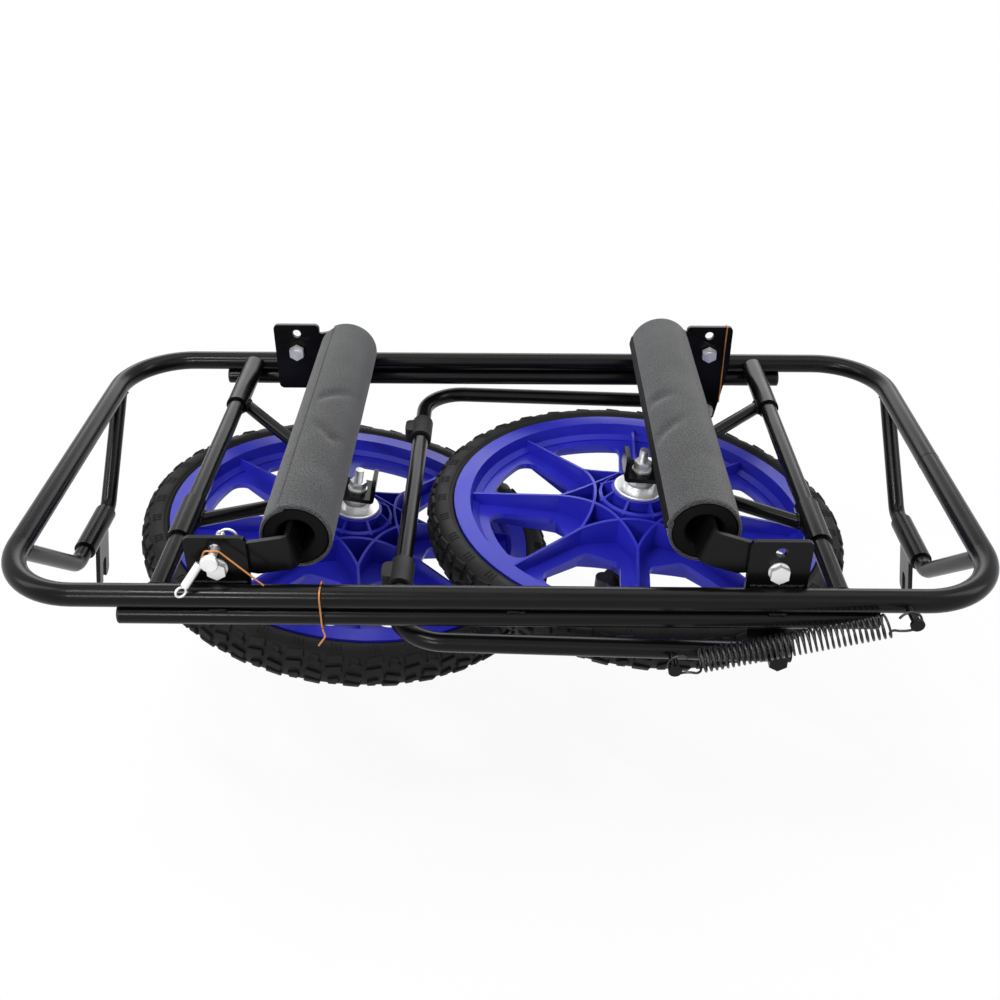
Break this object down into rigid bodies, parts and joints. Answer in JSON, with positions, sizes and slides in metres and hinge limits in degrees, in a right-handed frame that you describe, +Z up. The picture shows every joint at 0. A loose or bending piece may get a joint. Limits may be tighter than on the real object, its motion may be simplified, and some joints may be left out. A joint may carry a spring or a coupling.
{
  "type": "folding boat cart",
  "caption": "Folding hand cart for small boats, folded flat: black tube frame with padded bunks, blue spoked wheels on swing-down arms, a sprung stand and end links.",
  "frame": {"origin": "middle of the frame loop, on the axis of its tube", "axes": "+X along the frame's long side to the stand's end, +Y the way the cart rolls, away from the camera, +Z up"},
  "size_m": [0.982, 0.5564, 0.3054],
  "materials": {
    "black_coat": "gloss powder coat",
    "blue_plastic": "moulded satin gloss",
    "tyre": "matt",
    "zinc": "bright zinc plate",
    "knob_plastic": "fine grain",
    "plug_plastic": "matt",
    "foam": "closed-cell foam",
    "cover_fabric": "woven nylon",
    "foot_rubber": "matt",
    "spring_steel": "blackened",
    "tie_wire": "soft copper"
  },
  "bodies": {
    "frame": {"frame_loop": "black_coat", "front_rail": "black_coat", "back_rail": "black_coat", "rail_plugs": "plug_plastic", "left_cross_tube": "black_coat", "left_u_bracket": "black_coat", "left_front_bracket": "black_coat", "left_back_bracket": "black_coat", "left_bunk_bolts": "zinc", "right_cross_tube": "black_coat", "right_u_bracket": "black_coat", "right_front_bracket": "black_coat", "right_back_bracket": "black_coat", "right_bunk_bolts": "zinc", "stand_pivot_bolts": "black_coat", "stand_pivot_nuts": "zinc", "frame_spring_peg": "black_coat", "hitch_pins": "zinc", "hitch_rings": "zinc", "wire_ties": "tie_wire"},
    "left_arm": {"left_back_sleeve": "black_coat", "left_front_sleeve": "black_coat", "left_back_brace": "black_coat", "left_front_brace": "black_coat", "left_axle_plate": "black_coat", "left_axle": "zinc", "left_axle_hardware": "zinc"},
    "left_wheel": {"left_rim": "blue_plastic", "left_tyre": "tyre", "left_bearings": "zinc"},
    "left_knob_body": {"left_knob": "knob_plastic"},
    "left_link": {"left_link_sleeve": "black_coat", "left_link_plate": "black_coat"},
    "left_bunk": {"left_bunk_core": "black_coat", "left_bunk_foam": "foam", "left_bunk_cover": "cover_fabric"},
    "right_arm": {"right_back_sleeve": "black_coat", "right_front_sleeve": "black_coat", "right_back_brace": "black_coat", "right_front_brace": "black_coat", "right_axle_plate": "black_coat", "right_axle": "zinc", "right_axle_hardware": "zinc"},
    "right_wheel": {"right_rim": "blue_plastic", "right_tyre": "tyre", "right_bearings": "zinc"},
    "right_knob_body": {"right_knob": "knob_plastic"},
    "right_link": {"right_link_sleeve": "black_coat", "right_link_plate": "black_coat"},
    "right_bunk": {"right_bunk_core": "black_coat", "right_bunk_foam": "foam", "right_bunk_cover": "cover_fabric"},
    "stand": {"stand_loop": "black_coat", "stand_feet": "foot_rubber", "stand_spring_peg": "black_coat"},
    "spring_body": {"spring": "spring_steel"}
  },
  "joints": [
    {"name": "left_arm_fold", "type": "hinge", "parent": "frame", "child": "left_arm", "pos_m": [-0.322, 0, 0], "axis": [0, 1, 0], "range_deg": [0, 80]},
    {"name": "right_arm_fold", "type": "hinge", "parent": "frame", "child": "right_arm", "pos_m": [0.322, 0, 0], "axis": [0, -1, 0], "range_deg": [0, 94]},
    {"name": "stand_fold", "type": "hinge", "parent": "frame", "child": "stand", "pos_m": [0.267, 0, -0.06], "axis": [0, -1, 0], "range_deg": [0, 88]},
    {"name": "spring_swing", "type": "hinge", "parent": "frame", "child": "spring_body", "pos_m": [0.382, -0.276, 0], "axis": [0, -1, 0], "range_deg": [0, 37.9], "deforming": ["spring"]},
    {"name": "left_link_swing", "type": "hinge", "parent": "frame", "child": "left_link", "pos_m": [-0.479, 0, -0.106], "axis": [0, 1, 0], "range_deg": [0, 100]},
    {"name": "right_link_swing", "type": "hinge", "parent": "frame", "child": "right_link", "pos_m": [0.479, 0, -0.106], "axis": [0, -1, 0], "range_deg": [0, 100]},
    {"name": "left_bunk_tilt", "type": "hinge", "parent": "frame", "child": "left_bunk", "pos_m": [-0.262, 0, 0.025], "axis": [0, -1, 0], "range_deg": [-3, 18]},
    {"name": "right_bunk_tilt", "type": "hinge", "parent": "frame", "child": "right_bunk", "pos_m": [0.262, 0, 0.025], "axis": [0, 1, 0], "range_deg": [-3, 18]},
    {"name": "left_wheel_spin", "type": "hinge", "parent": "left_arm", "child": "left_wheel", "pos_m": [-0.17794, 0.016, -0.11882], "axis": [0.1736, 0, 0.9848], "continuous": true},
    {"name": "right_wheel_spin", "type": "hinge", "parent": "right_arm", "child": "right_wheel", "pos_m": [0.15348, -0.002, -0.08044], "axis": [0.0698, 0, 0.9976], "continuous": true},
    {"name": "left_knob_turn", "type": "hinge", "parent": "left_arm", "child": "left_knob_body", "pos_m": [-0.17794, 0.016, -0.11882], "axis": [0.1736, 0, 0.9848], "continuous": true},
    {"name": "right_knob_turn", "type": "hinge", "parent": "right_arm", "child": "right_knob_body", "pos_m": [0.15348, -0.002, -0.08044], "axis": [0.0698, 0, 0.9976], "continuous": true}
  ],
  "couplings": [
    {"joint": "right_arm_fold", "follows": "left_arm_fold", "ratio": 1.175},
    {"joint": "stand_fold", "follows": "left_arm_fold", "ratio": 1.1},
    {"joint": "spring_swing", "follows": "left_arm_fold", "ratio": 0.47378},
    {"joint": "left_link_swing", "follows": "left_arm_fold", "ratio": 1.25},
    {"joint": "right_link_swing", "follows": "left_arm_fold", "ratio": 1.25}
  ]
}
